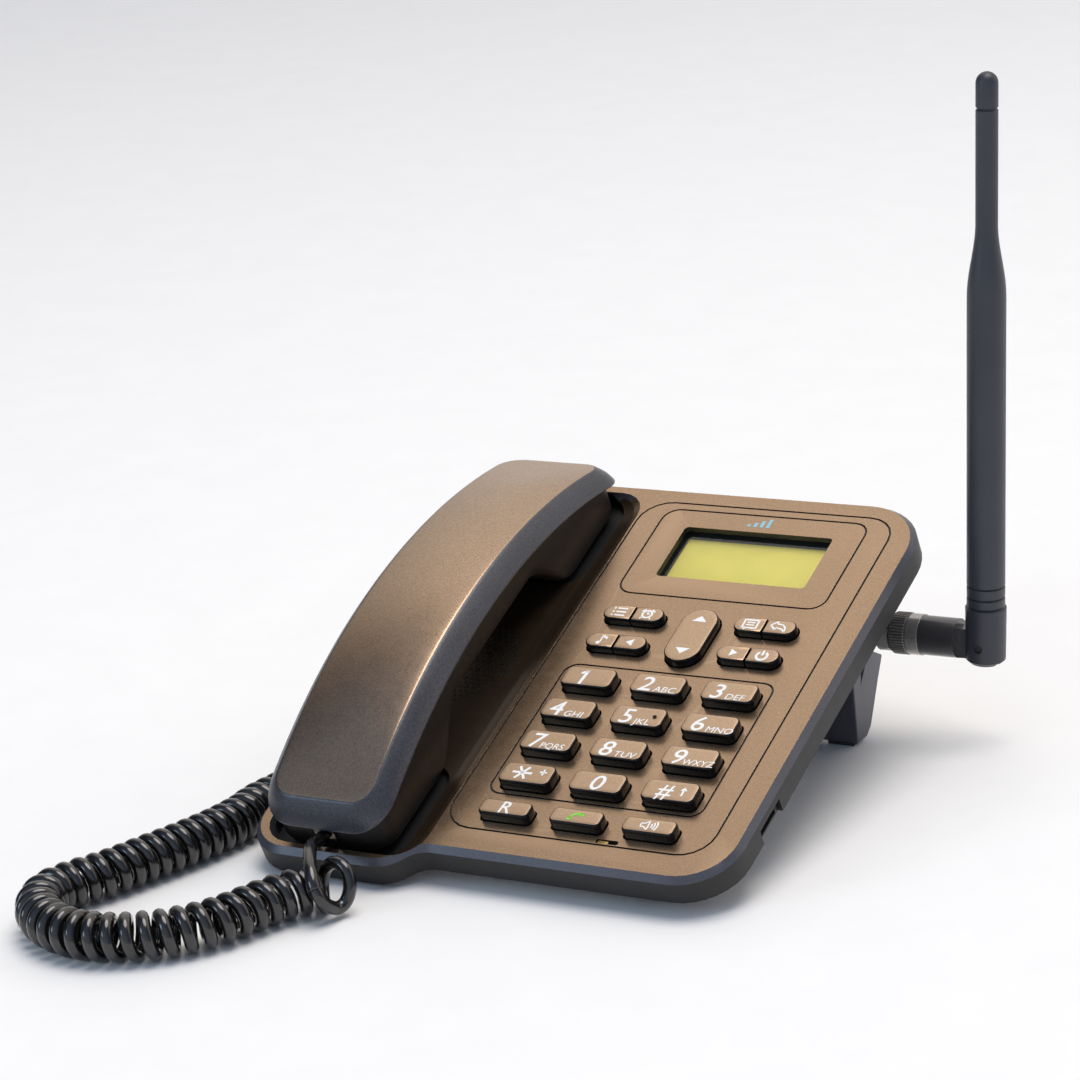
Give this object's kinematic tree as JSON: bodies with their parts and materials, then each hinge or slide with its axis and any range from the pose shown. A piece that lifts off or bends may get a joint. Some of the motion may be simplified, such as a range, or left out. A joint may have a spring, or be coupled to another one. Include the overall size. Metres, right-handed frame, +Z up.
{
  "type": "corded cellular desk phone",
  "caption": "Sloped desk phone with display, keypad, lift-off handset on a curly cord and a folding whip antenna; stands on pads and a rear bracket.",
  "frame": {"origin": "centre of the footprint of the phone without its cord, on the table", "axes": "+Z up, +X to the user's right, -Y towards the user"},
  "size_m": [0.2559, 0.2627, 0.2297],
  "materials": {
    "face_paint": "satin metallic bronze paint on plastic",
    "case_dark": "satin charcoal plastic",
    "handset_paint": "satin metallic bronze paint with dark edges",
    "handset_dark": "matte black plastic",
    "key_caps": "bronze top on glossy black",
    "rubber": "matte black",
    "lens": "clear",
    "display": "yellow-green liquid crystal",
    "board": "green laminate",
    "membrane": "silicone",
    "inner_black": "plain black",
    "inner_metal": "bright",
    "battery": "sleeve film",
    "screw_steel": "zinc plated",
    "antenna_metal": "nickel plate",
    "antenna_black": "matte black",
    "knurl": "black anodised",
    "sleeve": "gloss black",
    "cord": "gloss black sheath"
  },
  "bodies": {
    "base": {"base_top_shell": "face_paint", "base_bottom_shell": "case_dark", "rear_stand": "case_dark", "rubber_feet": "rubber", "display_lens": "lens", "display_module": "display", "main_board": "board", "keypad_membrane": "membrane", "loudspeaker": "inner_black", "base_microphone": "inner_metal", "sim_holder": "inner_metal", "hook_switch": "inner_black", "battery_pack": "battery", "battery_cover": "case_dark", "antenna_jack": "antenna_metal", "power_jack": "inner_black", "side_port": "inner_black", "base_cord_jack": "inner_black", "housing_screws": "screw_steel", "base_plug": "cord", "cord_base_lead": "cord", "cord_coil": "cord", "cord_handset_lead": "cord"},
    "hook_plunger": {"hook_plunger": "inner_black"},
    "key_1": {"key_1": "key_caps"},
    "key_2": {"key_2": "key_caps"},
    "key_3": {"key_3": "key_caps"},
    "key_4": {"key_4": "key_caps"},
    "key_5": {"key_5": "key_caps"},
    "key_6": {"key_6": "key_caps"},
    "key_7": {"key_7": "key_caps"},
    "key_8": {"key_8": "key_caps"},
    "key_9": {"key_9": "key_caps"},
    "key_star": {"key_star": "key_caps"},
    "key_0": {"key_0": "key_caps"},
    "key_hash": {"key_hash": "key_caps"},
    "key_recall": {"key_recall": "key_caps"},
    "key_call": {"key_call": "key_caps"},
    "key_speaker": {"key_speaker": "key_caps"},
    "key_menu": {"key_menu": "key_caps"},
    "key_alarm": {"key_alarm": "key_caps"},
    "key_message": {"key_message": "key_caps"},
    "key_back": {"key_back": "key_caps"},
    "key_music": {"key_music": "key_caps"},
    "key_left": {"key_left": "key_caps"},
    "key_right": {"key_right": "key_caps"},
    "key_power": {"key_power": "key_caps"},
    "nav_rocker": {"nav_rocker": "key_caps"},
    "antenna_nut": {"antenna_nut": "knurl"},
    "antenna_sleeve": {"antenna_sleeve": "sleeve"},
    "antenna_mast": {"antenna_mast": "antenna_black", "antenna_pin": "screw_steel"},
    "handset": {"handset_top_shell": "handset_paint", "handset_bottom_shell": "handset_dark", "handset_receiver": "inner_metal", "handset_microphone": "inner_metal", "handset_jack": "inner_black", "handset_screws": "screw_steel", "handset_plug": "cord"}
  },
  "joints": [
    {"name": "handset_lift", "type": "slide", "parent": "base", "child": "handset", "axis": [0, -0.3584, 0.9336], "range_m": [0, 0.06]},
    {"name": "hook_plunger_press", "type": "slide", "parent": "base", "child": "hook_plunger", "axis": [0, -0.3584, 0.9336], "range_m": [-0.002, 0], "stiffness_N_per_m": 150, "springref_m": 0.001},
    {"name": "key_1_press", "type": "slide", "parent": "base", "child": "key_1", "axis": [0, 0.3584, -0.9336], "range_m": [0, 0.001], "stiffness_N_per_m": 300, "springref_m": -0.0005},
    {"name": "key_2_press", "type": "slide", "parent": "base", "child": "key_2", "axis": [0, 0.3584, -0.9336], "range_m": [0, 0.001], "stiffness_N_per_m": 300, "springref_m": -0.0005},
    {"name": "key_3_press", "type": "slide", "parent": "base", "child": "key_3", "axis": [0, 0.3584, -0.9336], "range_m": [0, 0.001], "stiffness_N_per_m": 300, "springref_m": -0.0005},
    {"name": "key_4_press", "type": "slide", "parent": "base", "child": "key_4", "axis": [0, 0.3584, -0.9336], "range_m": [0, 0.001], "stiffness_N_per_m": 300, "springref_m": -0.0005},
    {"name": "key_5_press", "type": "slide", "parent": "base", "child": "key_5", "axis": [0, 0.3584, -0.9336], "range_m": [0, 0.001], "stiffness_N_per_m": 300, "springref_m": -0.0005},
    {"name": "key_6_press", "type": "slide", "parent": "base", "child": "key_6", "axis": [0, 0.3584, -0.9336], "range_m": [0, 0.001], "stiffness_N_per_m": 300, "springref_m": -0.0005},
    {"name": "key_7_press", "type": "slide", "parent": "base", "child": "key_7", "axis": [0, 0.3584, -0.9336], "range_m": [0, 0.001], "stiffness_N_per_m": 300, "springref_m": -0.0005},
    {"name": "key_8_press", "type": "slide", "parent": "base", "child": "key_8", "axis": [0, 0.3584, -0.9336], "range_m": [0, 0.001], "stiffness_N_per_m": 300, "springref_m": -0.0005},
    {"name": "key_9_press", "type": "slide", "parent": "base", "child": "key_9", "axis": [0, 0.3584, -0.9336], "range_m": [0, 0.001], "stiffness_N_per_m": 300, "springref_m": -0.0005},
    {"name": "key_star_press", "type": "slide", "parent": "base", "child": "key_star", "axis": [0, 0.3584, -0.9336], "range_m": [0, 0.001], "stiffness_N_per_m": 300, "springref_m": -0.0005},
    {"name": "key_0_press", "type": "slide", "parent": "base", "child": "key_0", "axis": [0, 0.3584, -0.9336], "range_m": [0, 0.001], "stiffness_N_per_m": 300, "springref_m": -0.0005},
    {"name": "key_hash_press", "type": "slide", "parent": "base", "child": "key_hash", "axis": [0, 0.3584, -0.9336], "range_m": [0, 0.001], "stiffness_N_per_m": 300, "springref_m": -0.0005},
    {"name": "key_recall_press", "type": "slide", "parent": "base", "child": "key_recall", "axis": [0, 0.3584, -0.9336], "range_m": [0, 0.001], "stiffness_N_per_m": 300, "springref_m": -0.0005},
    {"name": "key_call_press", "type": "slide", "parent": "base", "child": "key_call", "axis": [0, 0.3584, -0.9336], "range_m": [0, 0.001], "stiffness_N_per_m": 300, "springref_m": -0.0005},
    {"name": "key_speaker_press", "type": "slide", "parent": "base", "child": "key_speaker", "axis": [0, 0.3584, -0.9336], "range_m": [0, 0.001], "stiffness_N_per_m": 300, "springref_m": -0.0005},
    {"name": "key_menu_press", "type": "slide", "parent": "base", "child": "key_menu", "axis": [0, 0.3584, -0.9336], "range_m": [0, 0.001], "stiffness_N_per_m": 300, "springref_m": -0.0005},
    {"name": "key_alarm_press", "type": "slide", "parent": "base", "child": "key_alarm", "axis": [0, 0.3584, -0.9336], "range_m": [0, 0.001], "stiffness_N_per_m": 300, "springref_m": -0.0005},
    {"name": "key_message_press", "type": "slide", "parent": "base", "child": "key_message", "axis": [0, 0.3584, -0.9336], "range_m": [0, 0.001], "stiffness_N_per_m": 300, "springref_m": -0.0005},
    {"name": "key_back_press", "type": "slide", "parent": "base", "child": "key_back", "axis": [0, 0.3584, -0.9336], "range_m": [0, 0.001], "stiffness_N_per_m": 300, "springref_m": -0.0005},
    {"name": "key_music_press", "type": "slide", "parent": "base", "child": "key_music", "axis": [0, 0.3584, -0.9336], "range_m": [0, 0.001], "stiffness_N_per_m": 300, "springref_m": -0.0005},
    {"name": "key_left_press", "type": "slide", "parent": "base", "child": "key_left", "axis": [0, 0.3584, -0.9336], "range_m": [0, 0.001], "stiffness_N_per_m": 300, "springref_m": -0.0005},
    {"name": "key_right_press", "type": "slide", "parent": "base", "child": "key_right", "axis": [0, 0.3584, -0.9336], "range_m": [0, 0.001], "stiffness_N_per_m": 300, "springref_m": -0.0005},
    {"name": "key_power_press", "type": "slide", "parent": "base", "child": "key_power", "axis": [0, 0.3584, -0.9336], "range_m": [0, 0.001], "stiffness_N_per_m": 300, "springref_m": -0.0005},
    {"name": "nav_rocker_tilt", "type": "hinge", "parent": "base", "child": "nav_rocker", "pos_m": [0.01072, 0.01835, 0.04798], "axis": [1, 0, 0], "range_deg": [-3, 3], "stiffness_Nm_per_rad": 0.05},
    {"name": "antenna_nut_turn", "type": "hinge", "parent": "base", "child": "antenna_nut", "pos_m": [0.05712, 0.07936, 0.0366], "axis": [1, 0, 0], "continuous": true},
    {"name": "antenna_swivel", "type": "hinge", "parent": "base", "child": "antenna_sleeve", "pos_m": [0.06212, 0.07936, 0.0366], "axis": [1, 0, 0], "range_deg": [-90, 90]},
    {"name": "antenna_fold", "type": "hinge", "parent": "antenna_sleeve", "child": "antenna_mast", "pos_m": [0.08692, 0.07936, 0.0357], "axis": [0, 1, 0], "range_deg": [-4, 86]}
  ]
}
